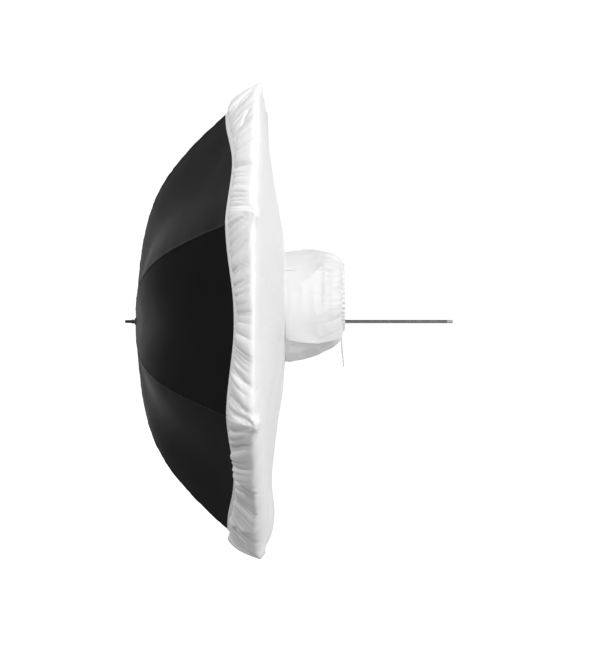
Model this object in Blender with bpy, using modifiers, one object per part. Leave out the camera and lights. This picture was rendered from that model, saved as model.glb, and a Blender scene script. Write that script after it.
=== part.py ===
"""Studio umbrella reflector with its slip-on diffuser cover, as separate parts in metres.

The shaft lies along X and the umbrella opens towards +X, with +Z up. The origin is on the
shaft's axis where a light's umbrella holder grips it. Places along the shaft are measured
from the crown, the outermost point of the canopy, and CROWN is that point in the frame.
Rib k stands in the plane that is turned by rib_angle(k) about the shaft.
"""
import math

import bmesh
import bpy
from mathutils import Euler, Matrix, Vector

# Driving dimensions
CROWN = Vector((-0.588, 0.0, 0.0))
RIBS = 8
HALF_PANEL = math.pi / RIBS        # from a rib to the middle of its panel
GAP = 0.0003                       # between pieces that touch

SHAFT_RADIUS = 0.004
SHAFT_WALL = 0.0008
SHAFT_START = -0.004
SHAFT_END = 0.671
END_CAP_LENGTH = 0.013

# The canopy's section over a rib is a hyperbola: nearly flat at the crown, straight at the rim
CROWN_SLOPE = 0.034
BEND_SLOPE = 1.236
BEND_RADIUS = 0.322
BEND_WIDTH = 0.132
CANOPY_HOLE = 0.009
CANOPY_EDGE = 0.519
CLOTH = 0.0005

RIB_RADIUS = 0.0014
RIB_DEPTH = 0.0032                 # from the canopy's outer face to the rib's centre line
RIB_TIP = 0.514
TIP_LENGTH = 0.009
TIP_RADIUS = 0.0019
HINGE_GAP = 0.0011                 # where the flexible rib is parted into its two rigid halves

PIVOT_RING = 0.012                 # radius of the wire rings that ribs and stretchers turn on
WIRE_RADIUS = 0.0005
NOTCH_PIVOT = 0.008
EYE_RADIUS = 0.002
EYE_HOLE = 0.00085
EYE_WIDTH = 0.0022
EYE_CLEARANCE = 0.0004
HUB_RADIUS = 0.016
SLOT_WIDTH = 0.0036
BORE = SHAFT_RADIUS + 0.0004

BRACKET_RADIUS = 0.237             # along the rib, where the stretcher joins it
BRACKET_DEPTH = 0.0045             # from the rib's centre line to the stretcher's pin
BRACKET_HALF_LENGTH = 0.0032
PIN_RADIUS = 0.0006
STRETCHER_RADIUS = 0.0011

RUNNER_LENGTH = 0.027
RUNNER_SLEEVE = 0.0075
RUNNER_GRIP = 0.0095
CATCH_TOP = 0.0066

SKIRT_LIFT = 0.0013                # the cover's height over the canopy's outer face
RIM_RADIUS = 0.5216
ELASTIC_RADIUS = 0.460             # along the rib, where the elastic hem grips the canopy
ELASTIC_WIDTH = 0.009
ELASTIC_THICKNESS = 0.0014
ELASTIC_SCALLOP = 0.012            # how far the hem bows towards the rim between ribs
SLEEVE_START = 0.322
SLEEVE_START_RADIUS = 0.118
SLEEVE_START_HEIGHT = 0.032
MOUTH = 0.440
MOUTH_RADIUS = 0.070
MOUTH_HEIGHT = 0.052
HEM_WIDTH = 0.009
HEM_DEPTH = 0.0036
STRING_RADIUS = 0.001
KNOT_RADIUS = 0.0024

# The drawstring's two tails, from the mouth's lower edge down to their knots
TAIL_ROUTES = {
    "front": [
        (-0.1435, -0.0035, -0.0230),
        (-0.1432, -0.0048, -0.0420),
        (-0.1420, -0.0056, -0.0640),
        (-0.1398, -0.0058, -0.0920),
    ],
    "back": [
        (-0.1435, 0.0035, -0.0230),
        (-0.1444, 0.0050, -0.0400),
        (-0.1440, 0.0060, -0.0600),
        (-0.1412, 0.0062, -0.0830),
    ],
}

MATERIALS = {
    "bright_steel": ((0.62, 0.62, 0.60), 0.25, 1.0),
    "black_steel": ((0.03, 0.03, 0.03), 0.40, 1.0),
    "spring_steel": ((0.45, 0.45, 0.44), 0.30, 1.0),
    "black_plastic": ((0.02, 0.02, 0.02), 0.45, 0.0),
    "grey_plastic": ((0.45, 0.45, 0.44), 0.50, 0.0),
    "black_cloth": ((0.013, 0.013, 0.014), 0.80, 0.0),
    "white_cloth": ((0.85, 0.85, 0.85), 0.85, 0.0),
    "white_elastic": ((0.80, 0.80, 0.80), 0.75, 0.0),
    "white_string": ((0.82, 0.82, 0.80), 0.80, 0.0),
}


def canopy_x(r):
    """Place along the shaft of the canopy's outer face over a rib, at radius r."""
    def bend(q):
        return BEND_SLOPE * (math.hypot(q - BEND_RADIUS, BEND_WIDTH) + q - BEND_RADIUS) / 2
    return CROWN_SLOPE * r + bend(r) - bend(0)


def canopy_point(r, depth):
    """Point (along the shaft, radius) over a rib, depth metres inside the canopy's outer face."""
    step = 0.0001
    slope = (canopy_x(r + step) - canopy_x(r - step)) / (2 * step)
    steep = math.hypot(1, slope)
    return Vector((canopy_x(r) + depth / steep, r - depth * slope / steep))


def rib_point(r):
    """The rib's centre line, which dips to the notch's pivot ring beside the shaft."""
    dip = NOTCH_PIVOT - canopy_x(PIVOT_RING) - RIB_DEPTH
    return canopy_point(r, RIB_DEPTH + dip * math.exp(-(r - PIVOT_RING) / 0.025))


def bracket_frame():
    """The rib's point and outward direction at the bracket, in the rib's plane."""
    step = 0.001
    point = rib_point(BRACKET_RADIUS)
    along = (rib_point(BRACKET_RADIUS + step) - rib_point(BRACKET_RADIUS - step)).normalized()
    return point, along


def pivots():
    """The linkage's four pivots in a rib's plane, as (along the shaft, radius).

    Rib and stretcher are equally long between pivots, so the runner's pivot is the notch's
    mirrored in the bracket's, and it stays at the same radius all the way along the shaft.
    """
    point, along = bracket_frame()
    notch = Vector((NOTCH_PIVOT, PIVOT_RING))
    pin = point + BRACKET_DEPTH * Vector((along.y, -along.x))
    runner = Vector((2 * pin.x - notch.x, PIVOT_RING))
    flex = point + (BRACKET_HALF_LENGTH + HINGE_GAP / 2) * along
    return {"notch": notch, "pin": pin, "runner": runner, "flex": flex}


def rib_angle(k):
    """Turn of rib k about the shaft; the ribs stand either side of the vertical."""
    return HALF_PANEL * (2 * k - 1)


def octagon(radius, angle):
    """Distance from the shaft to the canopy's straight side, at an angle from one of its ribs."""
    from_rib = abs((angle + HALF_PANEL) % (2 * HALF_PANEL) - HALF_PANEL)
    return radius * math.cos(HALF_PANEL) / math.cos(HALF_PANEL - from_rib)


def around(x, radius, angle, height=0.0):
    """Point at this place along the shaft, turned by angle from straight up."""
    return Vector((x, -radius * math.sin(angle), height + radius * math.cos(angle)))


def collection(name):
    made = bpy.data.collections.new(name)
    bpy.context.scene.collection.children.link(made)
    return made


def material(name):
    made = bpy.data.materials.get(name)
    if made is None:
        colour, roughness, metallic = MATERIALS[name]
        made = bpy.data.materials.new(name)
        made.use_nodes = True
        shader = made.node_tree.nodes["Principled BSDF"]
        shader.inputs["Base Color"].default_value = (*colour, 1)
        shader.inputs["Roughness"].default_value = roughness
        shader.inputs["Metallic"].default_value = metallic
        made.diffuse_color = (*colour, 1)
    return made


def place(name, mesh, where=CROWN, turn=(0, 0, 0), slot=None, into=None):
    """Link a mesh as an object of the umbrella, or as a hidden cutter."""
    made = bpy.data.objects.new(name, mesh)
    made.location = where
    made.rotation_euler = Euler(turn)
    (into or PARTS).objects.link(made)
    if slot and not mesh.materials:
        mesh.materials.append(material(slot))
    if into is CUTTERS:
        made.hide_render = True
        made.display_type = "WIRE"
    return made


def evaluated_mesh(made):
    """The object's mesh with its modifiers applied and loose caps welded."""
    bpy.context.view_layer.update()
    mesh = bpy.data.meshes.new_from_object(made.evaluated_get(bpy.context.evaluated_depsgraph_get()))
    shape = bmesh.new()
    shape.from_mesh(mesh)
    bmesh.ops.remove_doubles(shape, verts=shape.verts, dist=0.00001)
    bmesh.ops.recalc_face_normals(shape, faces=shape.faces)
    shape.to_mesh(mesh)
    shape.free()
    mesh.name = made.name
    return mesh


def smooth(mesh, angle=40):
    mesh.shade_smooth()
    mesh.set_sharp_from_angle(angle=math.radians(angle))


def turned_mesh(name, profile, steps=24, closed=False):
    """Solid of revolution about its own Z; the profile is (radius, height), top to bottom."""
    outline = bpy.data.meshes.new(name)
    last = len(profile)
    edges = [(i, (i + 1) % last) for i in range(last if closed else last - 1)]
    outline.from_pydata([(r, 0, z) for r, z in profile], edges, [])
    guide = place(name + "_profile", outline, Vector(), into=CUTTERS)
    screw = guide.modifiers.new("turn", "SCREW")
    screw.steps = steps
    screw.render_steps = steps
    screw.use_merge_vertices = True
    screw.merge_threshold = 0.00001
    mesh = evaluated_mesh(guide)
    bpy.data.objects.remove(guide)
    smooth(mesh)
    return mesh


def turned(name, profile, slot, start=0.0, steps=24, closed=False, height=0.0):
    """A turned piece on the shaft's axis; the profile runs back from +X to -X."""
    mesh = turned_mesh(name, profile, steps, closed)
    where = CROWN + Vector((start, 0, height))
    return place(name, mesh, where, (0, math.pi / 2, 0), slot)


def tube_mesh(name, points, radius, sides=2, closed=False):
    """A round bar along a line of points, as a mesh with welded ends."""
    data = bpy.data.curves.new(name, "CURVE")
    data.dimensions = "3D"
    data.bevel_depth = radius
    data.bevel_resolution = sides
    data.use_fill_caps = not closed
    line = data.splines.new("POLY")
    line.points.add(len(points) - 1)
    line.use_cyclic_u = closed
    for dot, point in zip(line.points, points):
        dot.co = (*point, 1)
    guide = bpy.data.objects.new(name, data)
    CUTTERS.objects.link(guide)
    mesh = evaluated_mesh(guide)
    bpy.data.objects.remove(guide)
    smooth(mesh)
    return mesh


def block_mesh(name, low, high, turn=Matrix()):
    """A box between two corners, turned about the origin afterwards."""
    shape = bmesh.new()
    bmesh.ops.create_cube(shape, size=1)
    low, high = Vector(low), Vector(high)
    middle = Matrix.Translation((low + high) / 2)
    bmesh.ops.transform(shape, matrix=turn @ middle @ Matrix.Diagonal((*(high - low), 1)), verts=shape.verts)
    mesh = bpy.data.meshes.new(name)
    shape.to_mesh(mesh)
    shape.free()
    return mesh


def pin_mesh(name, radius, width, centre, sides=12):
    """A short round bar along Y about a centre in the rib's plane."""
    shape = bmesh.new()
    bmesh.ops.create_cone(shape, cap_ends=True, segments=sides, radius1=radius, radius2=radius, depth=width)
    turn = Matrix.Translation((centre[0], 0, centre[1])) @ Matrix.Rotation(math.pi / 2, 4, "X")
    bmesh.ops.transform(shape, matrix=turn, verts=shape.verts)
    mesh = bpy.data.meshes.new(name)
    shape.to_mesh(mesh)
    shape.free()
    smooth(mesh)
    return mesh


def carve(mesh, tool, operation="DIFFERENCE"):
    """One Boolean between two meshes in the same frame; gives the new mesh."""
    body = place(mesh.name, mesh, Vector(), into=CUTTERS)
    other = place(tool.name + "_tool", tool, Vector(), into=CUTTERS)
    cut = body.modifiers.new("cut", "BOOLEAN")
    cut.operation = operation
    cut.solver = "EXACT"
    cut.object = other
    result = evaluated_mesh(body)
    bpy.data.objects.remove(body)
    bpy.data.objects.remove(other)
    smooth(result)
    return result


def cloth(name, across, along, where, slot, thickness=CLOTH, ring=False, turn=0.0):
    """A sheet of cloth: a grid laid on where(u, v), with its thickness outside the surface."""
    shape = bmesh.new()
    bmesh.ops.create_grid(shape, x_segments=across, y_segments=along, size=0.5)
    for vert in shape.verts:
        vert.co = where(vert.co.x + 0.5, vert.co.y + 0.5)
    if ring:
        bmesh.ops.remove_doubles(shape, verts=shape.verts, dist=0.00001)
    mesh = bpy.data.meshes.new(name)
    shape.to_mesh(mesh)
    shape.free()
    made = place(name, mesh, CROWN, (turn, 0, 0), slot)
    solid = made.modifiers.new("thickness", "SOLIDIFY")
    solid.thickness = thickness
    solid.offset = 1
    smooth(mesh, 30)
    return made


def attach(child, parent):
    """Parent a piece without moving it."""
    bpy.context.view_layer.update()
    child.parent = parent
    child.matrix_parent_inverse = parent.matrix_world.inverted()


def pivot_empty(name, where):
    made = bpy.data.objects.new(name, None)
    made.location = where
    made.empty_display_size = 0.01
    PARTS.objects.link(made)
    return made


def rib_place(k, point):
    """Where a point of the rib's plane is in the frame, on rib k."""
    return CROWN + Matrix.Rotation(rib_angle(k), 3, "X") @ Vector((point[0], 0, point[1]))


def in_rib_plane(point, origin):
    return Vector((point[0] - origin[0], 0, point[1] - origin[1]))


def slotted_hub(name, profile, pivot, open_end):
    """A turned hub with a slot for each rib and a groove for its wire ring.

    open_end is +1 where the slots and the groove open towards +X, and -1 towards -X.
    """
    mesh = turned_mesh(name, profile, closed=True)
    mesh.transform(Matrix.Rotation(math.pi / 2, 4, "Y"))
    reach = 0.03
    floor = PIVOT_RING - EYE_RADIUS - EYE_CLEARANCE
    shut = pivot - open_end * (EYE_RADIUS + EYE_CLEARANCE)
    sides = sorted((shut, pivot + open_end * reach))
    for k in range(1, RIBS + 1):
        turn = Matrix.Rotation(rib_angle(k), 4, "X")
        low = (sides[0], -SLOT_WIDTH / 2, floor)
        high = (sides[1], SLOT_WIDTH / 2, floor + reach)
        mesh = carve(mesh, block_mesh("slot", low, high, turn))
    groove = WIRE_RADIUS + GAP
    ends = sorted((pivot - open_end * groove, pivot + open_end * reach))
    ring = [(PIVOT_RING + groove, ends[1]), (PIVOT_RING + groove, ends[0]),
            (PIVOT_RING - groove, ends[0]), (PIVOT_RING - groove, ends[1])]
    groove_tool = turned_mesh("groove", ring, closed=True)
    groove_tool.transform(Matrix.Rotation(math.pi / 2, 4, "Y"))
    return carve(mesh, groove_tool)


def wire_ring(name, x):
    """The wire ring that the rib or stretcher eyes turn on, laid in a hub's groove."""
    turns = 24
    points = [around(0, PIVOT_RING, 2 * math.pi * i / turns) for i in range(turns)]
    mesh = tube_mesh(name, points, WIRE_RADIUS, 1, closed=True)
    return place(name, mesh, CROWN + Vector((x, 0, 0)), slot="spring_steel")


def make_shaft():
    inner = SHAFT_RADIUS - SHAFT_WALL
    profile = [(SHAFT_RADIUS, SHAFT_END), (SHAFT_RADIUS, SHAFT_START), (inner, SHAFT_START), (inner, SHAFT_END)]
    mesh = turned_mesh("shaft", profile, 24, closed=True)
    mesh.transform(Matrix.Rotation(math.pi / 2, 4, "Y"))
    start = runner_end() - GAP
    window = block_mesh("window", (start, -0.0012, 0.001), (start + 0.012, 0.0012, 0.006))
    return place("shaft", carve(mesh, window), slot="bright_steel")


def make_end_cap():
    r = SHAFT_RADIUS - 0.0001
    length = END_CAP_LENGTH
    profile = [(0, length), (r - 0.0008, length), (r, length - 0.0008), (r, 0), (0, 0)]
    return turned("shaft_end_cap", profile, "grey_plastic", SHAFT_END + GAP)


def make_ferrule():
    """The nose outside the crown: a short collar and a round pin."""
    profile = [(0, SHAFT_START - GAP), (0.0044, SHAFT_START - GAP), (0.0044, -0.0095), (0.0034, -0.0105),
               (0.0032, -0.0230), (0.0024, -0.0240), (0, -0.0240)]
    return turned("ferrule", profile, "black_plastic")


def make_crown_cap():
    """The washer that clamps the canopy's crown from outside."""
    profile = [(0.0085, -GAP), (0.0085, -0.0012), (0.0070, -0.0028), (BORE, -0.0034), (BORE, -GAP)]
    return turned("crown_cap", profile, "black_plastic", closed=True)


def make_notch():
    front = NOTCH_PIVOT + 0.005
    back = 0.0045
    profile = [(0.0065, front + 0.006), (0.0065, front), (HUB_RADIUS, front), (HUB_RADIUS, back),
               (BORE, back), (BORE, front + 0.006)]
    mesh = slotted_hub("notch", profile, NOTCH_PIVOT, 1)
    return place("notch", mesh, slot="black_plastic")


def runner_end():
    return pivots()["runner"].x + RUNNER_LENGTH


def make_runner():
    """The sliding hub, with a grip flange at its free end and a keyway that clears the catch."""
    pivot = pivots()["runner"].x
    front = pivot + 0.005
    back = pivot - 0.005
    end = runner_end()
    grip = end - 0.004
    profile = [(RUNNER_GRIP, end), (RUNNER_GRIP, grip), (RUNNER_SLEEVE, grip), (RUNNER_SLEEVE, front),
               (HUB_RADIUS, front), (HUB_RADIUS, back), (BORE, back), (BORE, end)]
    mesh = slotted_hub("runner", profile, pivot, -1)
    top = CATCH_TOP + 0.0018
    keyway = block_mesh("keyway", (back - 0.01, -0.0014, 0.002), (end + 0.01, 0.0014, top))
    return place("runner", carve(mesh, keyway), slot="black_plastic")


def make_catch():
    """The sprung tooth that stands out of the shaft behind the open runner."""
    start = runner_end() + GAP
    leaf, top = 0.0006, CATCH_TOP
    outline = [(0, leaf), (0, top), (0.0018, top), (0.0068, 0.0014), (0.0300, 0.0014), (0.0300, leaf)]
    shape = bmesh.new()
    corners = [shape.verts.new((x, -0.0008, z)) for x, z in outline]
    face = shape.faces.new(corners)
    side = bmesh.ops.extrude_face_region(shape, geom=[face])
    moved = [item for item in side["geom"] if isinstance(item, bmesh.types.BMVert)]
    bmesh.ops.translate(shape, verts=moved, vec=(0, 0.0016, 0))
    bmesh.ops.recalc_face_normals(shape, faces=shape.faces)
    mesh = bpy.data.meshes.new("catch_spring")
    shape.to_mesh(mesh)
    shape.free()
    return place("catch_spring", mesh, CROWN + Vector((start, 0, 0)), slot="spring_steel")


def rib_line(start, end, steps, origin):
    """Points along the rib's centre line between two radii."""
    return [in_rib_plane(rib_point(start + (end - start) * i / steps), origin) for i in range(steps + 1)]


def eye(mesh, centre, hole):
    """Join a rounded end with a hole to a rod that starts at its centre."""
    mesh = carve(mesh, pin_mesh("eye", EYE_RADIUS, EYE_WIDTH, centre), "UNION")
    return carve(mesh, pin_mesh("hole", hole, 2 * EYE_WIDTH, centre))


def make_rib_inner_mesh():
    """Rod from the notch's ring to the bracket, with its eye, and the bracket with its pin."""
    notch = pivots()["notch"]
    point, along = bracket_frame()
    tilt = math.atan2(along.x, along.y)
    frame = Matrix.Translation(in_rib_plane(point, notch)) @ Matrix.Rotation(tilt, 4, "Y")
    rod = rib_line(PIVOT_RING + 0.0013, BRACKET_RADIUS, 7, notch)
    mesh = tube_mesh("rib_inner", rod, RIB_RADIUS)
    mesh = eye(mesh, (0, 0), EYE_HOLE)
    half = BRACKET_HALF_LENGTH
    side = 0.0024
    block = block_mesh("bracket", (-0.0016, -side, -half), (BRACKET_DEPTH + 0.0017, side, half), frame)
    mesh = carve(mesh, block, "UNION")
    fork = block_mesh("fork", (0.0019, -0.0015, -2 * half), (BRACKET_DEPTH + 0.01, 0.0015, 2 * half), frame)
    mesh = carve(mesh, fork)
    pin = pin_mesh("pin", PIN_RADIUS, 2 * side - 0.0006, (BRACKET_DEPTH, 0), 10)
    pin.transform(frame)
    return carve(mesh, pin, "UNION")


def make_rib_outer_mesh():
    """Rod from the bracket to the tip."""
    joints = pivots()
    flex = joints["flex"]
    start = BRACKET_RADIUS + (BRACKET_HALF_LENGTH + HINGE_GAP) * bracket_frame()[1].y
    return tube_mesh("rib_outer", rib_line(start, RIB_TIP - TIP_LENGTH, 8, flex), RIB_RADIUS)


def make_stretcher_mesh():
    """Straight rod with an eye at each end, from the bracket's pin to the runner's ring."""
    joints = pivots()
    reach = in_rib_plane(joints["runner"], joints["pin"])
    ends = [reach * (0.0012 / reach.length), reach * (1 - 0.0013 / reach.length)]
    mesh = tube_mesh("stretcher", ends, STRETCHER_RADIUS)
    mesh = eye(mesh, (0, 0), PIN_RADIUS + GAP)
    return eye(mesh, (reach.x, reach.z), EYE_HOLE)


def make_tip_mesh():
    """Small round-nosed cap in the rib end's pocket, along the rib's last stretch."""
    length = TIP_LENGTH
    r = TIP_RADIUS
    profile = [(0, length), (0.5 * r, length - 0.0003), (r, length - 0.0014), (r, GAP), (0, GAP)]
    return turned_mesh("rib_tip", profile, 8)


def gore_place(u, v):
    """Point of one canopy gore, centred on its rib: u across it, v from the crown to the rim."""
    r = CANOPY_HOLE + (CANOPY_EDGE - CANOPY_HOLE) * v
    x, radius = canopy_point(r, CLOTH)
    seam = HALF_PANEL - GAP / 2 / octagon(radius, HALF_PANEL)
    angle = (2 * u - 1) * seam
    return around(x, octagon(radius, angle), angle)


def make_ribs():
    """The eight ribs with their stretchers, tips and canopy gores, and the joints' parents."""
    joints = pivots()
    inner_mesh = make_rib_inner_mesh()
    outer_mesh = make_rib_outer_mesh()
    stretcher_mesh = make_stretcher_mesh()
    tip_mesh = make_tip_mesh()
    tip_point = rib_point(RIB_TIP - TIP_LENGTH)
    tip_run = rib_point(RIB_TIP) - tip_point
    tip_tilt = math.atan2(tip_run.x, tip_run.y)
    for k in range(1, RIBS + 1):
        turn = (rib_angle(k), 0, 0)
        inner = place(f"rib_inner_{k}", inner_mesh, rib_place(k, joints["notch"]), turn, "black_steel")
        outer = place(f"rib_outer_{k}", outer_mesh, rib_place(k, joints["flex"]), turn, "black_steel")
        stretcher = place(f"stretcher_{k}", stretcher_mesh, rib_place(k, joints["pin"]), turn, "black_steel")
        tip = place(f"rib_tip_{k}", tip_mesh, rib_place(k, tip_point), slot="black_plastic")
        tilted = Matrix.Rotation(rib_angle(k), 3, "X") @ Matrix.Rotation(tip_tilt, 3, "Y")
        tip.rotation_euler = tilted.to_euler()
        gore = cloth(f"canopy_gore_{k}", 4, 12, gore_place, "black_cloth", turn=rib_angle(k))
        attach(outer, inner)
        attach(stretcher, inner)
        attach(tip, outer)
        attach(gore, inner)


def skirt_radius(angle, start):
    """Rib radius of the cover's edge: scalloped between ribs at the hem, straight at the rim."""
    bow = (1 - math.cos(RIBS * (angle - HALF_PANEL))) / 2
    return start + ELASTIC_SCALLOP * bow * (RIM_RADIUS - start) / (RIM_RADIUS - ELASTIC_RADIUS)


def skirt_point(angle, start, lift):
    x, radius = canopy_point(skirt_radius(angle, start), -lift)
    return around(x, octagon(radius, angle - HALF_PANEL), angle)


def make_skirt():
    """The cover's turned-back edge, outside the canopy between the rim and the elastic."""
    start = ELASTIC_RADIUS + ELASTIC_WIDTH + GAP

    def where(u, v):
        angle = HALF_PANEL + 2 * math.pi * u
        return skirt_point(angle, start + (RIM_RADIUS - start) * v, SKIRT_LIFT)
    return cloth("diffuser_skirt", 4 * RIBS, 3, where, "white_cloth", ring=True)


def make_elastic():
    """The elastic band in the cover's hem."""
    def where(u, v):
        angle = HALF_PANEL + 2 * math.pi * u
        return skirt_point(angle, ELASTIC_RADIUS + ELASTIC_WIDTH * v, SKIRT_LIFT)
    return cloth("diffuser_elastic", 4 * RIBS, 1, where, "white_elastic", ELASTIC_THICKNESS, ring=True)


def make_front():
    """The stretched front sheet, from the rim's octagon to the round base of the sleeve."""
    rim_x, rim_radius = canopy_point(RIM_RADIUS, -SKIRT_LIFT)

    def where(u, v):
        angle = HALF_PANEL + 2 * math.pi * u
        rim = around(rim_x + 2 * CLOTH + GAP, octagon(rim_radius, angle - HALF_PANEL), angle)
        base = around(SLEEVE_START, SLEEVE_START_RADIUS, angle, SLEEVE_START_HEIGHT)
        return rim.lerp(base, v)
    return cloth("diffuser_front", 6 * RIBS, 2, where, "white_cloth", ring=True)


def make_sleeve():
    """The sleeve that closes round the light, narrowing and rising to its mouth."""
    def where(u, v):
        angle = HALF_PANEL + 2 * math.pi * u
        start = around(SLEEVE_START + CLOTH + GAP, SLEEVE_START_RADIUS, angle, SLEEVE_START_HEIGHT)
        end = around(MOUTH, MOUTH_RADIUS, angle, MOUTH_HEIGHT)
        return start.lerp(end, v)
    return cloth("diffuser_sleeve", 4 * RIBS, 3, where, "white_cloth", ring=True)


def make_mouth():
    """The hem round the mouth, a channel stitched shut on its inner side, with its drawstring."""
    start = 2 * CLOTH + GAP
    end = start + HEM_WIDTH
    outer = HEM_DEPTH / 2
    inner = outer - CLOTH
    lip = 0.001
    section = [(outer, end), (outer, start), (-outer, start), (-outer, end / 2 + start / 2 - lip / 2),
               (-inner, end / 2 + start / 2 - lip / 2), (-inner, start + CLOTH), (inner, start + CLOTH),
               (inner, end - CLOTH), (-inner, end - CLOTH), (-inner, end / 2 + start / 2 + lip / 2),
               (-outer, end / 2 + start / 2 + lip / 2), (-outer, end)]
    profile = [(MOUTH_RADIUS + offset, x) for offset, x in section]
    hem = turned("sleeve_hem", profile, "white_cloth", MOUTH, 24, True, MOUTH_HEIGHT)
    turns = 24
    ring = [around(0, MOUTH_RADIUS, 2 * math.pi * i / turns) for i in range(turns)]
    mesh = tube_mesh("drawstring_loop", ring, STRING_RADIUS, 1, closed=True)
    where = CROWN + Vector((MOUTH + (start + end) / 2, 0, MOUTH_HEIGHT))
    loop = place("drawstring_loop", mesh, where, slot="white_string")
    return [hem, loop]


def smooth_route(points, steps):
    """Points on a smooth curve through the route's own points."""
    padded = [2 * points[0] - points[1], *points, 2 * points[-1] - points[-2]]
    line = []
    for a, b, c, d in zip(padded, padded[1:], padded[2:], padded[3:]):
        for i in range(steps):
            t = i / steps
            line.append((2 * b + (c - a) * t + (2 * a - 5 * b + 4 * c - d) * t**2
                         + (3 * b - a - 3 * c + d) * t**3) / 2)
    return line + [points[-1]]


def make_tails():
    """The drawstring's loose tails and the knots at their ends."""
    made = []
    for end, route in TAIL_ROUTES.items():
        points = [Vector(point) for point in route]
        mesh = tube_mesh(f"drawstring_tail_{end}", smooth_route(points, 5), STRING_RADIUS, 2)
        made.append(place(mesh.name, mesh, Vector(), slot="white_string"))
        run = (points[-1] - points[-2]).normalized()
        knot = bmesh.new()
        bmesh.ops.create_uvsphere(knot, u_segments=8, v_segments=6, radius=KNOT_RADIUS)
        mesh = bpy.data.meshes.new(f"drawstring_knot_{end}")
        knot.to_mesh(mesh)
        knot.free()
        smooth(mesh)
        made.append(place(mesh.name, mesh, points[-1] + run * (KNOT_RADIUS + GAP), slot="white_string"))
    return made


def make_umbrella():
    for item in (make_shaft, make_end_cap, make_ferrule, make_crown_cap, make_notch, make_catch):
        item()
    wire_ring("notch_wire", NOTCH_PIVOT)
    make_ribs()
    joints = pivots()
    runner_pivot = pivot_empty("runner_pivot", rib_place(1, joints["runner"]))
    attach(runner_pivot, bpy.data.objects["stretcher_1"])
    runner = make_runner()
    attach(runner, runner_pivot)
    attach(wire_ring("runner_wire", joints["runner"].x), runner)
    cover = [make_skirt(), make_elastic(), make_front(), make_sleeve(), *make_mouth(), *make_tails()]
    for piece in cover:
        attach(piece, runner)


for old in list(bpy.data.objects):
    bpy.data.objects.remove(old, do_unlink=True)
PARTS = collection("umbrella_reflector")
CUTTERS = collection("cutters")
make_umbrella()
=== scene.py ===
import math

import bpy
import numpy as np
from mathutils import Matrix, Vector


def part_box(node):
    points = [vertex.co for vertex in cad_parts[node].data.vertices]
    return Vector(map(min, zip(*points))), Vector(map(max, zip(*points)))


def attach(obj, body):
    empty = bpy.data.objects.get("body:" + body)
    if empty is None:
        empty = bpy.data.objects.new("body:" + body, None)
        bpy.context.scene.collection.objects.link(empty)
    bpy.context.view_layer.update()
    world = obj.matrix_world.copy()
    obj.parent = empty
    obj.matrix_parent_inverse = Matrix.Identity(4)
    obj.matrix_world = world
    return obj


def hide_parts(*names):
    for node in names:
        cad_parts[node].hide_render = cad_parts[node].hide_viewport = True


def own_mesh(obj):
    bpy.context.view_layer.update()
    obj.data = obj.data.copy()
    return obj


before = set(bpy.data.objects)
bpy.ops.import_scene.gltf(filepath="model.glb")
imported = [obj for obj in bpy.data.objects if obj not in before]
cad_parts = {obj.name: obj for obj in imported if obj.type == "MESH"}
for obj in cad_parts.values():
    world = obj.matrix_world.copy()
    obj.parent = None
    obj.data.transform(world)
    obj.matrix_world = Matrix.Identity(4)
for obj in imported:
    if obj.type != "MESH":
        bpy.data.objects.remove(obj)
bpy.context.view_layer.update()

# Camera and studio. The camera looks square on to the shaft from the side, level with it, at a
# plain backdrop and a pale floor, under three soft lights: from above on both sides, and from below.
crown_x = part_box("ferrule")[0].x + 0.024
camera_along, camera_distance, camera_height = 0.354, 3.493, -0.027
bpy.ops.object.camera_add(location=(crown_x + camera_along, -camera_distance, camera_height),
                          rotation=(math.pi / 2, 0, 0))
camera = bpy.context.object
camera.data.lens = 87.1
bpy.context.scene.camera = camera
bpy.context.scene.view_settings.view_transform = "Standard"


def studio_surface(name, size, location, rotation, colour, glow):
    """A plain sheet of the studio, which may shine a little by itself."""
    bpy.ops.mesh.primitive_plane_add(size=size, location=location, rotation=rotation)
    surface = bpy.context.object
    surface.name = name
    paint = bpy.data.materials.new(name)
    paint.use_nodes = True
    shader = paint.node_tree.nodes["Principled BSDF"]
    shader.inputs["Base Color"].default_value = (colour, colour, colour, 1)
    shader.inputs["Roughness"].default_value = 0.9
    shader.inputs["Emission Color"].default_value = (1, 1, 1, 1)
    shader.inputs["Emission Strength"].default_value = glow
    surface.data.materials.append(paint)


def soft_light(name, location, target, size, power):
    """A square area light of this size and power, aimed at a target."""
    bpy.ops.object.light_add(type="AREA", location=location)
    light = bpy.context.object
    light.name = name
    light.data.size = size
    light.data.energy = power
    light.rotation_euler = (Vector(target) - Vector(location)).to_track_quat("-Z", "Y").to_euler()


studio_surface("floor", 40, (0, 0, -3.0), (0, 0, 0), 0.60, 0.0)
studio_surface("backdrop", 26, (0, 9.5, 6.0), (math.pi / 2, 0, 0), 0.90, 0.80)
soft_light("key_light", (1.7, -2.3, 1.5), (-0.3, 0, 0), 0.7, 66)
soft_light("side_light", (-1.5, -2.1, 1.7), (-0.3, 0, 0), 0.45, 33)
soft_light("low_light", (2.1, -2.4, -0.7), (-0.2, 0, 0), 0.9, 19)
world = bpy.data.worlds.new("studio")
world.use_nodes = True
world.node_tree.nodes["Background"].inputs["Color"].default_value = (1, 1, 1, 1)
world.node_tree.nodes["Background"].inputs["Strength"].default_value = 0.28
bpy.context.scene.world = world


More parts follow.
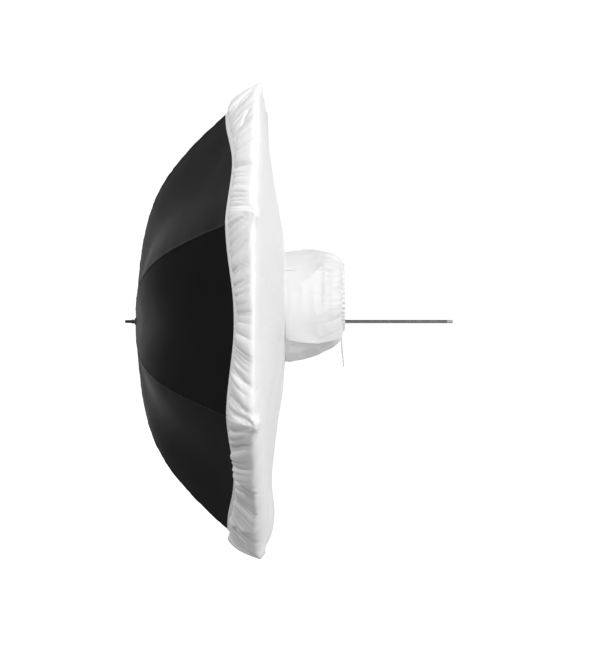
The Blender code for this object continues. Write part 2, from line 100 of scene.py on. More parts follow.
# Drawstring tails. Two lengths of 2 mm braided polyester string hang from the sleeve's mouth.
# Each is one open curve, and each ends in a single overhand knot tied in the same string.
class Value:
    """A shader value; arithmetic on it adds Math nodes to its material."""

    def __init__(self, tree, socket):
        self.tree = tree
        self.socket = socket

    def maths(self, operation, *values):
        math_node = self.tree.nodes.new("ShaderNodeMath")
        math_node.operation = operation
        for place, value in zip(math_node.inputs, values):
            if isinstance(value, Value):
                self.tree.links.new(value.socket, place)
            else:
                place.default_value = value
        return Value(self.tree, math_node.outputs[0])

    def __add__(self, other):
        return self.maths("ADD", self, other)

    def __radd__(self, other):
        return self.maths("ADD", other, self)

    def __mul__(self, other):
        return self.maths("MULTIPLY", self, other)

    def __rmul__(self, other):
        return self.maths("MULTIPLY", other, self)


class Finish:
    """One material: a Principled shader and the nodes that feed it."""

    def __init__(self, name, colour, roughness, metallic=0.0, **fixed):
        self.material = bpy.data.materials.new(name)
        self.material.use_nodes = True
        self.tree = self.material.node_tree
        self.shader = self.tree.nodes["Principled BSDF"]
        self.set("Base Color", (*colour, 1))
        self.set("Roughness", roughness)
        self.set("Metallic", metallic)
        for socket, value in fixed.items():
            self.set(socket.replace("_", " "), value)

    def set(self, socket, value):
        """Give one of the shader's sockets a number, a colour or a link."""
        if isinstance(value, Value):
            self.tree.links.new(value.socket, self.shader.inputs[socket])
        else:
            self.shader.inputs[socket].default_value = value

    def node(self, kind, settings, sockets, output=0):
        """Add a node: its settings, then values or links for its sockets, by name or number."""
        made = self.tree.nodes.new(kind)
        for name, value in settings.items():
            setattr(made, name, value)
        for name, value in sockets.items():
            if isinstance(value, Value):
                self.tree.links.new(value.socket, made.inputs[name])
            else:
                made.inputs[name].default_value = value
        return Value(self.tree, made.outputs[output])

    def cloth_place(self):
        """Flat place on the cloth in metres, from the piece's own layout."""
        return self.node("ShaderNodeUVMap", {"uv_map": "cloth"}, {})

    def solid_place(self):
        """Place in the object in metres."""
        return self.node("ShaderNodeTexCoord", {}, {}, output=3)

    def mottle(self, vector, scale, detail=3.0):
        """Cloudy noise from 0 to 1 at this many waves to the metre."""
        return self.node("ShaderNodeTexNoise", {}, {"Vector": vector, "Scale": scale, "Detail": detail})

    def tint(self, share, low, high):
        """A colour between two, by a share from 0 to 1."""
        ends = {"Factor": share, 6: (*low, 1), 7: (*high, 1)}
        return self.node("ShaderNodeMix", {"data_type": "RGBA"}, ends, output=2)

    def emboss(self, height, distance):
        """Raise the surface by a height from 0 to 1, at most distance metres."""
        self.set("Normal", self.node("ShaderNodeBump", {}, {"Distance": distance, "Height": height}))


def threads(finish, vector, pitch):
    """Height of a plain weave, 0 to 1, on a vector in metres."""
    across = finish.node("ShaderNodeSeparateXYZ", {}, {0: vector})
    along = Value(finish.tree, across.socket.node.outputs[1])
    turn = 2 * math.pi / pitch
    wave = (across * turn).maths("SINE", across * turn) * (along * turn).maths("SINE", along * turn)
    return wave * 0.5 + 0.5


string_radius = 0.001
string = Finish("braided_string", (0.84, 0.84, 0.82), 0.75, Sheen_Weight=0.3)
string_place = string.solid_place()
string_fuzz = string.mottle(string_place, 900)
string.set("Base Color", string.tint(string_fuzz, (0.72, 0.72, 0.70), (0.88, 0.88, 0.86)))
string.emboss(threads(string, string_place, 0.0011) * 0.7 + string_fuzz * 0.3, 0.0003)

tail_routes = {
    "front": [(-0.1435, -0.0035, -0.0230), (-0.1432, -0.0048, -0.0420),
              (-0.1420, -0.0056, -0.0640), (-0.1398, -0.0058, -0.0920)],
    "back": [(-0.1435, 0.0035, -0.0230), (-0.1444, 0.0050, -0.0400),
             (-0.1440, 0.0060, -0.0600), (-0.1412, 0.0062, -0.0830)],
}


def string_curve(name, points, radius):
    """A round string of this radius along a line of points, as a curve object."""
    data = bpy.data.curves.new(name, "CURVE")
    data.dimensions = "3D"
    data.bevel_depth = 1.0
    data.bevel_resolution = 3
    data.use_fill_caps = True
    line = data.splines.new("POLY")
    line.points.add(len(points) - 1)
    for dot, point in zip(line.points, points):
        dot.co = (*point, 1)
        dot.radius = radius
    piece = bpy.data.objects.new(name, data)
    bpy.context.scene.collection.objects.link(piece)
    data.materials.append(string.material)
    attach(piece, "diffuser")
    return piece


def smooth_route(points, steps):
    """Points on a smooth curve through the route's own points."""
    points = [Vector(point) for point in points]
    padded = [2 * points[0] - points[1], *points, 2 * points[-1] - points[-2]]
    line = []
    for a, b, c, d in zip(padded, padded[1:], padded[2:], padded[3:]):
        for i in range(steps):
            t = i / steps
            line.append((2 * b + (c - a) * t + (2 * a - 5 * b + 4 * c - d) * t**2
                         + (3 * b - a - 3 * c + d) * t**3) / 2)
    return line + [points[-1]]


def overhand_knot(name, top, node):
    """A tight trefoil of the same string under the tail's end, with a short cut end."""
    steps = 48
    knot_centre = top + Vector((0, 0, -0.0024))
    knot_size = 0.00052
    loops = []
    for i in range(steps + 1):
        t = 2 * math.pi * i / steps
        bend = (math.sin(t) + 2 * math.sin(2 * t), -math.sin(3 * t), math.cos(t) - 2 * math.cos(2 * t))
        loops.append(knot_centre + Vector(bend) * knot_size)
    loops.append(loops[-1] + Vector((0.0006, 0.0002, -0.0030)))
    loops.append(loops[-1] + Vector((0.0005, 0.0004, -0.0035)))
    knot = string_curve(name, loops, 0.9 * string_radius)
    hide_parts(node)
    return knot


for end, route in tail_routes.items():
    line = smooth_route(route, 8)
    tail = string_curve(f"string_tail_{end}", line, string_radius)
    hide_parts(f"drawstring_tail_{end}")
    knot = overhand_knot(f"string_knot_{end}", line[-1], f"drawstring_knot_{end}")


# Canopy. Eight gores of thin black coated nylon with a white lining, sewn edge to edge over the
# ribs, stretched taut between them. One continuous surface is worked out, then parted halfway
# between ribs and again at the stretchers, where the ribs bend as the umbrella closes.
ribs = 8
half_panel = math.pi / ribs
canopy_start = 0.0062
canopy_split = 0.240
canopy_end = 0.519
cloth_thickness = 0.00035
inner_keep, outer_keep = 0.28, 0.17
slope_step = 1e-4
table_columns, table_rows = 160, 64
random_table = np.random.default_rng(7).uniform(-1, 1, (table_columns, table_rows, 16))


def canopy_rise(r):
    """Place along the shaft of the canopy's outer face over a rib, from the crown."""
    def bend(q):
        return 1.236 * (np.hypot(q - 0.322, 0.132) + q - 0.322) / 2

    return 0.034 * r + bend(r) - bend(0.0)


def canopy_slope(r):
    """How fast the canopy's outer face moves along the shaft as r grows."""
    return (canopy_rise(r + slope_step) - canopy_rise(r - slope_step)) / (2 * slope_step)


def canopy_line(r, lift):
    """Place along the shaft and radius over a rib, lift metres outside the canopy."""
    slope = canopy_slope(r)
    steep = np.hypot(1, slope)
    return canopy_rise(r) - lift / steep, r + lift * slope / steep


def from_rib(angle):
    """Angle from the nearest rib, signed; the ribs stand either side of the vertical."""
    return np.mod(angle, 2 * half_panel) - half_panel


def octagon(radius, angle, rounding=0.0015):
    """Radius of the straight panels between ribs, with a rounded ridge over each rib."""
    off = from_rib(angle)
    soft = np.sqrt(off**2 + (rounding / np.maximum(radius, 0.01))**2)
    return radius * math.cos(half_panel) / np.cos(np.maximum(half_panel - soft, 0))


def around(x, radius, angle, height=0.0):
    """Points at these places along the shaft, turned by angle from straight up."""
    x, radius, angle, height = np.broadcast_arrays(x, radius, angle, height)
    return np.stack((crown_x + x, -radius * np.sin(angle), height + radius * np.cos(angle)), -1)


def waves(u, v, seed, wrap):
    """Smooth random waves, about -1 to 1, one to each unit of u and v; u repeats after wrap."""
    table = random_table[:, :, seed]
    u, v = np.broadcast_arrays(u, v)
    column, row = np.floor(u).astype(int), np.floor(v).astype(int)
    s, t = u - column, v - row
    s, t = s * s * (3 - 2 * s), t * t * (3 - 2 * t)

    def knot(i, j):
        return table[np.mod(column + i, wrap), np.mod(row + j, table_rows)]

    near = knot(0, 0) * (1 - s) + knot(1, 0) * s
    far = knot(0, 1) * (1 - s) + knot(1, 1) * s
    return near * (1 - t) + far * t


def surface_normals(points, wrapped):
    """Unit normals of a grid of points (rows, columns), on its side away from the shaft's crown."""
    down = np.gradient(points, axis=0)
    if wrapped:
        across = np.roll(points, -1, axis=1) - np.roll(points, 1, axis=1)
    else:
        across = np.gradient(points, axis=1)
    normals = np.cross(across, down)
    return normals / np.linalg.norm(normals, axis=-1, keepdims=True)


def cloth_piece(name, points, normals, layout, thickness, finishes, wrapped=False):
    """A thin closed sheet: the outer face is the grid, the inner one lies thickness inside it.

    layout is the grid's flat cloth coordinates in metres, with one more column when wrapped.
    """
    rows, columns = points.shape[:2]
    count = rows * columns
    inner = points - normals * thickness
    verts = np.concatenate((points.reshape(-1, 3), inner.reshape(-1, 3)))
    index = np.arange(count).reshape(rows, columns)
    places = np.arange(rows * layout.shape[1]).reshape(rows, -1)
    if wrapped:
        index = np.concatenate((index, index[:, :1]), axis=1)

    def corners(grid):
        return np.stack((grid[:-1, :-1], grid[:-1, 1:], grid[1:, 1:], grid[1:, :-1]), -1).reshape(-1, 4)

    outer, flat = corners(index), corners(places)
    first = outer[len(outer) // 2]
    facing = np.cross(verts[first[1]] - verts[first[0]], verts[first[3]] - verts[first[0]])
    if facing @ normals.reshape(-1, 3)[first[0]] < 0:
        outer, flat = outer[:, ::-1], flat[:, ::-1]
    starts, ends = outer.ravel(), np.roll(outer, -1, axis=1).ravel()
    border = ~np.isin(ends * count + starts, starts * count + ends)
    a, b = starts[border], ends[border]
    edge = np.stack((b, a, a + count, b + count), -1)
    edge_flat = np.repeat(flat.ravel()[border][:, None], 4, axis=1)
    faces = np.concatenate((outer, outer[:, ::-1] + count, edge))
    uv = layout.reshape(-1, 2)[np.concatenate((flat, flat[:, ::-1], edge_flat)).ravel()]
    mesh = bpy.data.meshes.new(name)
    mesh.from_pydata(verts.tolist(), [], faces.tolist())
    mesh.uv_layers.new(name="cloth").data.foreach_set("uv", uv.ravel())
    for finish in finishes:
        mesh.materials.append(finish.material)
    sides = np.zeros(len(faces), int)
    sides[len(outer):2 * len(outer)] = len(finishes) - 1
    mesh.polygons.foreach_set("material_index", sides)
    mesh.shade_smooth()
    both = np.concatenate((normals.reshape(-1, 3), -normals.reshape(-1, 3)))
    mesh.normals_split_custom_set_from_vertices(both.tolist())
    piece = bpy.data.objects.new(name, mesh)
    bpy.context.scene.collection.objects.link(piece)
    return piece


def coated_nylon():
    """Black coated taffeta: faint weave, a low even sheen, slightly uneven coating."""
    finish = Finish("black_nylon", (0.012, 0.012, 0.013), 0.5, Specular_IOR_Level=0.07)
    cloth = finish.cloth_place()
    cloud = finish.mottle(cloth, 14)
    grain = finish.mottle(cloth, 420, 2.0)
    finish.set("Base Color", finish.tint(cloud, (0.0070, 0.0070, 0.0075), (0.0115, 0.0115, 0.0120)))
    finish.set("Roughness", cloud * 0.16 + 0.40 + grain * 0.06)
    finish.emboss(threads(finish, cloth, 0.0008) * 0.5 + grain * 0.5, 0.00012)
    return finish


def white_lining():
    """The canopy's white inner face: matt, with the same fine weave."""
    finish = Finish("white_lining", (0.82, 0.82, 0.81), 0.7)
    cloth = finish.cloth_place()
    cloud = finish.mottle(cloth, 18)
    finish.set("Base Color", finish.tint(cloud, (0.78, 0.78, 0.775), (0.85, 0.85, 0.845)))
    finish.emboss(threads(finish, cloth, 0.0008) * 0.6 + cloud * 0.4, 0.0001)
    return finish


def canopy_shape(r, angle):
    """Points of the whole canopy's outer face, with its seams, puckers and soft creases."""
    off = from_rib(angle)
    share = np.abs(off) / half_panel
    side = np.abs(off) * r
    turns = ribs * angle / (2 * math.pi)
    middle = np.sin(share * math.pi / 2)**2
    seam = 0.0007 * np.exp(-(side / 0.0022)**2) + 0.0004 / (1 + np.exp((side - 0.0045) / 0.0005))
    pucker = 0.00055 * waves(4 * turns, r / 0.0065, 0, 32) * np.exp(-side / 0.011)
    pleats = 0.0011 * np.exp(-(r - canopy_start) / 0.022) * waves(5 * turns, r / 0.05, 1, 40)
    creases = 0.0010 * waves(3 * turns + 4 * r, r / 0.10, 2, 24) * middle * np.clip(r / 0.1, 0, 1)
    billow = 0.0016 * waves(turns, r / 0.09, 3, 8) * middle
    grip = 0.0013 * np.exp(-((r - 0.452) / 0.020)**2) * waves(4 * turns, r / 0.03, 4, 32)
    sag = -0.010 * middle * np.sin(np.clip(r / 0.53, 0, 1) * math.pi)**1.2
    calm = 1 - 0.8 * np.clip((r - 0.455) / 0.02, 0, 1)
    loose = (pucker + pleats + creases + billow + grip) * calm
    arc_in = 0.006 * (1 - np.exp(-(side / 0.018)**2)) + 0.006 * middle
    r = r - arc_in * np.clip((r - 0.47) / 0.049, 0, 1)
    x, radius = canopy_line(r, seam + loose + sag)
    return around(x, octagon(radius, angle), angle)


spread = np.linspace(-1, 1, 97)
gore_angles = half_panel * (0.30 * spread + 0.70 * spread**3)
inner_radii = canopy_start + (canopy_split - canopy_start) * np.linspace(0, 1, 52)**1.15
outer_radii = np.linspace(canopy_split, canopy_end, 92)
radii = np.concatenate((inner_radii, outer_radii[1:]))[:, None]
all_angles = np.concatenate([half_panel * (2 * k - 1) + gore_angles[:-1] for k in range(1, ribs + 1)])
canopy_points = canopy_shape(radii, all_angles[None, :])
canopy_normals = surface_normals(canopy_points, True)
arc_steps = np.hypot(np.diff(radii[:, 0]), np.diff(canopy_rise(radii[:, 0])))
arc = np.concatenate(([0], np.cumsum(arc_steps)))
black_nylon = coated_nylon()
lining = white_lining()
columns_per_gore = len(spread) - 1


def gore_part(name, k, rows):
    """The part of gore k between two rows of the canopy's grid."""
    columns = np.arange((k - 1) * columns_per_gore, k * columns_per_gore + 1)
    columns = columns % (ribs * columns_per_gore)
    points = canopy_points[rows][:, columns]
    layout = np.stack(np.broadcast_arrays(radii[rows] * gore_angles[None, :], arc[rows][:, None]), -1)
    piece = cloth_piece(name, points, canopy_normals[rows][:, columns], layout, cloth_thickness,
                        (black_nylon, lining))
    return piece


rows_inside = slice(0, len(inner_radii))
rows_outside = slice(len(inner_radii) - 1, len(radii))
for k in range(1, ribs + 1):
    turn = half_panel * (2 * k - 1)
    parts = (("inner", rows_inside, f"rib_{k}", inner_keep),
             ("outer", rows_outside, f"rib_end_{k}", outer_keep))
    for place, rows, body, keep in parts:
        piece = gore_part(f"canopy_{place}_{k}", k, rows)
        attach(piece, body)
        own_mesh(piece)
        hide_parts(f"canopy_gore_{k}")


# Diffuser cover. One thin white stretch cloth is sewn from a front disc with a skirt that folds
# back over the rim, and a sleeve. An elastic gathers the skirt on the canopy's back, the rib tips
# stretch the disc, and a drawstring gathers the sleeve's mouth round the light.
rim_radius = 0.5216
band_width = 0.009
neck_place, neck_radius, neck_height = 0.322, 0.118, 0.032
mouth_place, mouth_radius, mouth_height = 0.4410, 0.0705, 0.051
columns = 1536
skirt_rows = 26
front_rows = 46
sleeve_rows = 64
rim_row = skirt_rows - 1
neck_row = rim_row + front_rows
mouth_row = neck_row + sleeve_rows
cloth_gap = 0.0018
cover_thickness = 0.0003
skirt_depth = 0.056
front_depth = 7.2 * skirt_depth
band_overlap = 0.0012
sleeve_lap, sleeve_length = 0.754, 0.144
turn = (2 * math.pi * np.arange(columns) / columns + half_panel)[None, :]
lap = turn / (2 * math.pi)
low = (0.5 - 0.5 * np.cos(turn))**2


def band_start(angle):
    """Radius over a rib of the elastic's inner edge, which dips outwards between the ribs."""
    scallop = 0.0125 * (1 + np.cos(ribs * angle)) / 2
    return 0.4585 + 0.0135 * np.sin(angle)**2 - 0.002 * np.cos(angle) + scallop


def puffs(position, count, seed):
    """Cloth that swells between sharp creases: count puffs of uneven width to one lap."""
    order = np.arange(count)
    jitter = 0.12 + 0.38 * (1 + random_table[:, 0, seed][order * 7 % table_columns])
    size = 0.65 + 0.35 * random_table[:, 1, seed][order * 3 % table_columns]
    u = np.mod(position, 1.0) * count
    cell = np.floor(u).astype(int) % count
    before = u - np.floor(u) < jitter[cell]
    right = np.where(before, jitter[cell], 1 + jitter[(cell + 1) % count])
    left = np.where(before, jitter[(cell - 1) % count] - 1, jitter[cell])
    v = np.clip((u - np.floor(u) - left) / (right - left), 0, 1)
    chosen = size[np.where(before, cell, (cell + 1) % count)]
    return np.sin(math.pi * v)**0.45 * (right - left) * chosen


def clear_of_canopy(points):
    """Push the skirt out to the canopy's back wherever its folds would sink into it."""
    place = points[..., 0] - crown_x
    off = np.abs(from_rib(np.arctan2(-points[..., 1], points[..., 2])))
    r = np.hypot(points[..., 1], points[..., 2]) * np.cos(half_panel - off) / math.cos(half_panel)
    room = place - canopy_rise(r) + cloth_gap * np.hypot(1, canopy_slope(r))
    softness = 0.0008
    sunk = softness * np.log1p(np.exp(np.clip(room / softness, -30, 30)))
    cleared = points.copy()
    cleared[..., 0] -= np.where(r < rim_radius - 0.001, sunk, 0)
    return cleared


# The smooth shape first: skirt, front and sleeve as one grid of rows.
reach = (np.linspace(0, 1, skirt_rows)**1.15)[:, None]
side = from_rib(turn) * rim_radius
bow = 0.005 * (1 - np.exp(-(side / 0.02)**2))
bow = bow + 0.004 * np.sin(side / rim_radius / half_panel * math.pi / 2)**2
bow = bow + 0.0040 * np.exp(-(side / 0.012)**2)
first_radius = band_start(turn) + band_width - band_overlap
skirt_radius = first_radius + (rim_radius - first_radius) * reach
swell = 0.0016 + 0.0045 * np.sin(math.pi * reach) * (1 + 0.3 * low)
x, r = canopy_line(skirt_radius, swell)
skirt_base = around(x, octagon(r, turn, 0.004) + bow * reach**2, turn)
rim_place, rim_reach = canopy_line(rim_radius, 0.0016)
share = (np.linspace(0, 1, front_rows + 1)[1:]**0.94)[:, None]
radius = octagon(rim_reach, turn, 0.004 + 0.03 * share) + bow
slump = 0.017 * np.exp(-((share - 0.16) / 0.13)**2) * np.exp(-(turn - math.pi)**2 / 0.30)
x = rim_place + (neck_place - rim_place) * share + slump
away = 1 - np.exp(-(side / 0.07)**2)
x = x + 0.004 * away * np.sin(math.pi * np.clip(share * 7, 0, 1)) - 0.005 * np.sin(math.pi * share)
x = x + 0.0040 * np.exp(-(side / 0.025)**2 - (share / 0.06)**2)
front_base = around(x, radius + (neck_radius - radius) * share, turn, neck_height * share)
stations = [0, 0.08, 0.32, 0.70, 0.82, 0.92, 1.0]
along = np.linspace(0, 1, sleeve_rows + 1)[1:, None]
x = np.interp(along, stations, [0.322, 0.332, 0.360, 0.404, 0.421, 0.434, 0.4410])
radius = np.interp(along, stations, [0.118, 0.1175, 0.1110, 0.1010, 0.0965, 0.0870, 0.0712])
height = np.interp(along, stations, [0.032, 0.031, 0.0365, 0.0450, 0.0480, 0.0500, 0.0510])
sleeve_base = around(x, radius + 0 * turn, turn, height)
base = np.concatenate((skirt_base, front_base, sleeve_base))


def lapped(across, along_it, height, reach):
    """A fold lying over its own edge: it drops at once on one side and fades on the other."""
    over = 1 / (1 + np.exp(-np.clip(across / 0.0012, -30, 30)))
    tucked = 0.45 * np.exp(-((across + 0.0035) / 0.0030)**2)
    return height * (over * np.exp(-np.clip(across, 0, None) / reach) - tucked) * np.exp(-along_it**4)


# Then the folds, by depth from the elastic. Creases start there and lean towards the rib tips.
depth = np.concatenate((skirt_depth * reach, skirt_depth + front_depth * share,
                        9 * skirt_depth + 0 * along))
lean = np.clip(depth / skirt_depth, 0, 1)
off = from_rib(turn)
leaning = np.sign(off) * np.abs(off / half_panel)**(1 - 0.42 * lean)
lane = (np.floor(turn / (2 * half_panel)) + 0.5 + leaning / 2) / ribs
lane = lane + 0.0022 * lean * waves(60 * lap, depth / 0.03, 5, 60)
wide_fade = np.exp(-(depth / 0.068)**2) * np.clip(depth / 0.016, 0, 1)
middle_fade = np.exp(-(depth / 0.036)**1.5) * np.clip(depth / 0.008, 0, 1)
narrow_fade = np.exp(-depth / 0.012) * np.clip(depth / 0.0040, 0, 1)**0.7
folds = 0.0086 * puffs(lane, 70, 6) * wide_fade
folds = folds + 0.0088 * puffs(lane + 0.003, 170, 7) * middle_fade
folds = folds + 0.0066 * puffs(lane, 330, 8) * narrow_fade
most = 0.017
folds = most * np.tanh(folds * (0.85 + 0.55 * low) / most)
past_rim = depth - skirt_depth
spoke = np.arctan2(past_rim, side) / (2 * math.pi) + 0.13 * np.floor(turn / (2 * half_panel))
from_tip = np.hypot(side, past_rim)
star = 0.0042 * puffs(spoke, 24, 9) * np.exp(-from_tip / 0.060) * np.clip(from_tip / 0.012, 0, 1)
folds = folds * (1 - 0.85 * np.exp(-(from_tip / 0.022)**2)) + star

# Single folds beside the upper and lower ribs, by their bearing in degrees from straight up.
for middle in (0, 2 * math.pi):
    bearing = turn - middle
    long_fold = rim_radius * (bearing - np.radians(44.5 - 330 * depth))
    groove = np.exp(-(np.abs(long_fold) / 0.0065)**1.5 - ((depth - 0.026) / 0.026)**4)
    folds = folds * (1 - 0.75 * groove)
    cross_fold = rim_radius * (bearing - np.radians(46 - 50 * depth))
    folds = folds + lapped(cross_fold, (depth - 0.055) / 0.060, 0.0035, 0.030)
    brow = rim_radius * (np.radians(129 + 90 * depth) - bearing)
    folds = folds + lapped(brow, (depth - 0.030) / 0.028, 0.0100, 0.030)
    hollow_across = (bearing - math.radians(140)) / math.radians(8.5)
    hollow = np.exp(-((depth - 0.030) / 0.020)**2 - hollow_across**2)
    folds = folds - 0.0075 * hollow
    second = rim_radius * (np.radians(151 - 60 * depth) - bearing)
    folds = folds + lapped(second, (depth - 0.030) / 0.028, 0.0060, 0.018)

# Long shallow ridges fan over the front sheet, and fade before the rim and the neck.
ridged = 1 - np.abs(waves(16 * lap, depth / 0.24 + 0.4 * np.sin(turn), 10, 16))**1.3
sweep = 0.5 * waves(26 * lap + 3 * depth, depth / 0.30, 15, 26) + 0.5 * np.sqrt(puffs(lane, 29, 4))
on_front = np.clip(past_rim / 0.05, 0, 1) * np.clip((0.46 - depth) / 0.06, 0, 1)
folds = folds + (0.0026 * ridged + 0.0050 * sweep) * on_front
heights = np.broadcast_to(folds, base.shape[:2]).copy()

# On the sleeve the drawstring's gathers fan back from the mouth, and the slack folds over itself.
gather = along + 0 * turn
bag = lap + 0.014 * waves(14 * lap, gather * 3, 11, 14) + 0.012 * gather * np.sin(2 * turn)
pull = 0.0050 * puffs(bag, 15, 12) * gather**2.2 + 0.0040 * puffs(bag, 52, 13) * gather**6
broad = 1 - np.abs(waves(9 * lap, gather * 2.2 + 0.4 * np.sin(turn), 14, 9))
fine = 1 - np.abs(waves(23 * lap, gather * 5 + np.sin(turn), 15, 23))
crumple = 0.0070 * broad * np.sin(math.pi * gather)**0.7 + 0.0025 * fine * np.sin(math.pi * gather)
drop = (0.100 * (np.radians(125 + 26 * gather) - turn), (gather - 0.52) / 0.5)
ledge = (0.100 * (np.radians(24 + 7 * gather) - turn), (gather - 0.86) / 0.16)
corner = (sleeve_length * (gather - 0.72), (turn - math.radians(72)) / math.radians(24))
shelf = (0.110 * (np.radians(60 - 8 * gather) - turn), (gather - 0.70) / 0.12)
pull = pull + lapped(*drop, 0.0115, 0.030) + lapped(*ledge, 0.0060, 0.020)
pull = pull - lapped(*corner, 0.0072, 0.025) + lapped(*shelf, 0.0066, 0.020)
heights[neck_row + 1:] = (pull + crumple) * (1 - 0.6 * np.clip((gather - 0.93) / 0.07, 0, 1))
cover = base + surface_normals(base, True) * heights[..., None]

# The cloth eases round the rim, except at the tips that hold it.
ease = 0.5 * np.clip(1.3 - 1.5 * np.exp(-(side / 0.022)**2), 0, 1)[0][None, :, None]
rim_first, rim_last = rim_row - 6, rim_row + 5
easing_passes = 9
for _ in range(easing_passes):
    between = (cover[rim_first - 1:rim_last - 1] + cover[rim_first + 1:rim_last + 1]) / 2
    cover[rim_first:rim_last] += ease * (between - cover[rim_first:rim_last])
cover[:rim_row - 1] = clear_of_canopy(cover[:rim_row - 1])

# The front sheet has every second column, so the row it shares is straight between them.
shared = cover[rim_row, ::2]
cover[rim_row, 1::2] = (shared + np.roll(shared, -1, 0)) / 2
cover_normals = surface_normals(cover, True)


def stretch_cloth():
    """Thin white stretch cloth: matt, a fine knit, slightly uneven where it is pulled."""
    finish = Finish("white_stretch_cloth", (0.85, 0.85, 0.85), 0.62, Sheen_Weight=0.12)
    cloth = finish.cloth_place()
    cloud = finish.mottle(cloth, 22)
    finish.set("Base Color", finish.tint(cloud, (0.835, 0.835, 0.838), (0.875, 0.875, 0.874)))
    finish.set("Roughness", cloud * 0.14 + 0.55)
    finish.emboss(threads(finish, cloth, 0.0009) * 0.6 + finish.mottle(cloth, 260, 2.0) * 0.4, 0.0001)
    return finish


white_cloth = stretch_cloth()


def cover_part(name, rows, every, across, down, node):
    """A part of the cover's grid as a piece, with every so many columns, and its cloth layout."""
    layout = np.stack(np.broadcast_arrays(across, down), -1)
    piece = cloth_piece(name, cover[rows, ::every], cover_normals[rows, ::every], layout,
                        cover_thickness, (white_cloth,), True)
    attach(piece, "diffuser")
    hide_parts(node)
    return piece


cut_width = 2 * math.pi * 0.559
laps = np.linspace(0, 1, columns + 1)[None, :]
skirt = cover_part("skirt", slice(0, rim_row + 1), 1, laps * cut_width, depth[:rim_row + 1],
                   "diffuser_skirt")
ring = 2 * math.pi * laps[:, ::2]
radius = np.linspace(0.528, 0.119, front_rows + 1)[:, None]
front = cover_part("front_sheet", slice(rim_row, neck_row + 1), 2,
                   radius * np.cos(ring), radius * np.sin(ring), "diffuser_front")
cover_normals[neck_row:] = surface_normals(cover[neck_row:], True)
sleeve = cover_part("sleeve", slice(neck_row, mouth_row + 1), 3, laps[:, ::3] * sleeve_lap,
                    sleeve_length * np.linspace(0, 1, sleeve_rows + 1)[:, None], "diffuser_sleeve")


# Elastic. A flat white knitted elastic, 9 mm wide, is sewn along the skirt's edge with two rows of
# zigzag stitches. It is stretched round the canopy's back and dips outwards between the ribs.
band_rows = 9
band_length = 2.94
band_thickness = 0.0010
share = np.linspace(0, 1, band_rows)[:, None]
crimp = 0.00022 * np.sin(300 * turn + 1.5 * waves(120 * lap, share, 9, 120))
crimp = crimp * (0.4 + 0.6 * share)
stitches = 0.00018 * (np.exp(-((share - 0.3) / 0.09)**2) + np.exp(-((share - 0.75) / 0.09)**2))
rounded = 0.0010 * (1 - np.abs(2 * share - 1)**3.5)
band_lift = 0.0010 + rounded + crimp - stitches + 0.0010 * np.clip(share - 0.6, 0, 1)
wavering = 0.0004 * waves(48 * lap, 0 * share, 10, 48)
x, r = canopy_line(band_start(turn) + wavering + band_width * share, band_lift)
band_points = around(x, octagon(r, turn, 0.003), turn)
band_normals = surface_normals(band_points, True)
layout = np.stack(np.broadcast_arrays(laps * band_length, band_width * share), -1)
white_elastic = Finish("white_elastic", (0.86, 0.86, 0.86), 0.7, Sheen_Weight=0.15)
white_elastic.emboss(threads(white_elastic, white_elastic.cloth_place(), 0.0012), 0.0002)
elastic_band = cloth_piece("elastic_band", band_points, band_normals, layout, band_thickness,
                           (white_elastic,), True)
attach(elastic_band, "diffuser")
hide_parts("diffuser_elastic")


# Sleeve hem. The sleeve's mouth is turned over to a 9 mm channel for the drawstring, which draws
# it up into tight pleats. A short tape with nothing on it is sewn into the neck's seam.
hem_columns, hem_rows = 640, 20
hem_place = mouth_place + 0.0045
hem_turn = 2 * math.pi * np.arange(hem_columns)[None, :] / hem_columns
section = 2 * math.pi * np.arange(hem_rows)[:, None] / hem_rows
pleat = np.cos(44 * hem_turn + 1.3 * waves(22 * hem_turn / (2 * math.pi), 0 * section, 11, 22))
tuck = waves(64 * hem_turn / (2 * math.pi), 0.5 + 0 * section, 12, 64)
hem_x = hem_place + 0.0047 * np.sign(np.cos(section)) * np.abs(np.cos(section))**0.7
hem_x = hem_x + 0.0009 * tuck
bulge = 0.0022 * np.sin(section) * (1 + 0.25 * tuck)
bulge = bulge + (0.0010 * pleat + 0.0006 * tuck) * (0.6 + 0.4 * np.sin(section))
hem_points = around(hem_x, mouth_radius + 0.0008 + bulge, hem_turn, mouth_height + 0.001)
hem_index = np.arange(hem_rows * hem_columns).reshape(hem_rows, hem_columns)
hem_next = np.roll(hem_index, -1, axis=0)
hem_faces = np.stack((hem_index, np.roll(hem_index, -1, axis=1),
                      np.roll(hem_next, -1, axis=1), hem_next), -1)
hem_mesh = bpy.data.meshes.new("sleeve_hem_cloth")
hem_mesh.from_pydata(hem_points.reshape(-1, 3).tolist(), [], hem_faces.reshape(-1, 4).tolist())
hem_uv = np.stack(np.broadcast_arrays(hem_turn * 0.12, section * 0.003), -1).reshape(-1, 2)
hem_mesh.uv_layers.new(name="cloth").data.foreach_set("uv", hem_uv[hem_faces.ravel()].ravel())
hem_mesh.shade_smooth()
hem_mesh.materials.append(white_cloth.material)
hem = bpy.data.objects.new("sleeve_hem_cloth", hem_mesh)
bpy.context.scene.collection.objects.link(hem)
bpy.ops.object.select_all(action="DESELECT")
hem.select_set(True)
bpy.context.view_layer.objects.active = hem
bpy.ops.object.mode_set(mode="EDIT")
bpy.ops.mesh.select_all(action="SELECT")
bpy.ops.mesh.normals_make_consistent(inside=False)
bpy.ops.object.mode_set(mode="OBJECT")
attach(hem, "diffuser")
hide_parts("sleeve_hem")

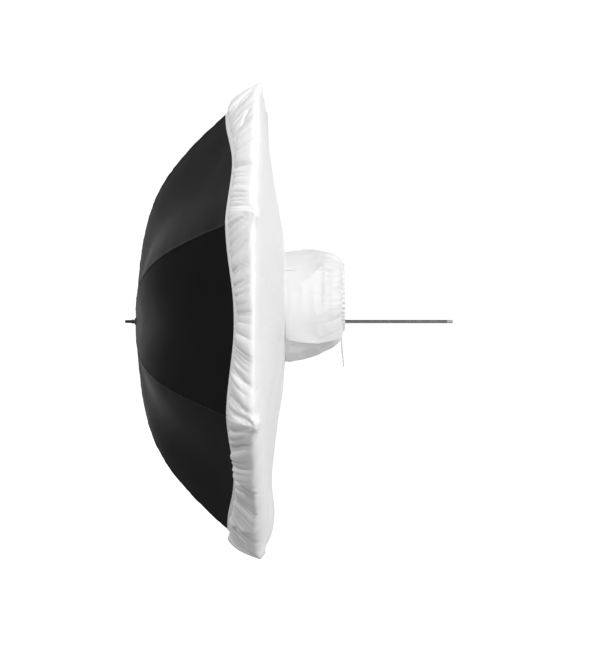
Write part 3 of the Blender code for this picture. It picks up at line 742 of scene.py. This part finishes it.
# The tape in the neck's seam.
tab_turn = math.radians(50)
bpy.ops.object.select_all(action="DESELECT")
bpy.ops.mesh.primitive_cube_add(size=1, location=(0, 0, 0))
tab = bpy.context.object
tab.name = "neck_tab"
tab.scale = (0.028, 0.0052, 0.0011)
bpy.ops.object.transform_apply(scale=True)
rounding = tab.modifiers.new("rounding", "BEVEL")
rounding.width = 0.0005
rounding.segments = 3
bpy.ops.object.modifier_apply(modifier="rounding")
tab_place = around(0.331, neck_radius + 0.0022, tab_turn, neck_height)
tab.location = Vector(tab_place.tolist())
tab.rotation_euler = (tab_turn, 0, 0)
bpy.ops.object.transform_apply(location=True, rotation=True)
tab.data.materials.append(white_elastic.material)
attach(tab, "diffuser")


# Frame. The shaft is a polished steel tube, the ribs and stretchers are blackened spring steel,
# and the hubs, tips and crown fittings are moulded nylon. They keep their solids' shapes.
def brushed(name, low, high, roughness, metallic):
    """A metal or plastic finish with fine uneven wear in its colour and gloss."""
    finish = Finish(name, low, roughness, metallic)
    place = finish.solid_place()
    cloud = finish.mottle(place, 60)
    grain = finish.mottle(place, 900, 2.0)
    finish.set("Base Color", finish.tint(cloud * 0.85 + grain * 0.15, low, high))
    finish.set("Roughness", cloud * 0.12 + grain * 0.03 + (roughness - 0.07))
    return finish


steel = brushed("polished_steel", (0.36, 0.36, 0.37), (0.50, 0.50, 0.51), 0.26, 1.0)
dark_steel = brushed("blackened_steel", (0.035, 0.036, 0.038), (0.075, 0.075, 0.078), 0.38, 1.0)
spring = brushed("spring_steel", (0.40, 0.40, 0.42), (0.60, 0.60, 0.61), 0.30, 1.0)
black_moulding = brushed("moulded_black_nylon", (0.010, 0.010, 0.011), (0.022, 0.022, 0.024), 0.46, 0.0)
grey_moulding = brushed("moulded_grey_nylon", (0.30, 0.30, 0.31), (0.42, 0.42, 0.43), 0.45, 0.0)
frame_finishes = {
    "shaft": steel, "notch_wire": spring, "runner_wire": spring, "catch_spring": spring,
    "shaft_end_cap": grey_moulding, "ferrule": black_moulding, "crown_cap": black_moulding,
    "notch": black_moulding, "runner": black_moulding, "drawstring_loop": string,
}
for k in range(1, ribs + 1):
    frame_finishes[f"rib_inner_{k}"] = dark_steel
    frame_finishes[f"rib_outer_{k}"] = dark_steel
    frame_finishes[f"stretcher_{k}"] = dark_steel
    frame_finishes[f"rib_tip_{k}"] = black_moulding
for name, finish in frame_finishes.items():
    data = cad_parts[name].data
    data.materials.clear()
    data.materials.append(finish.material)
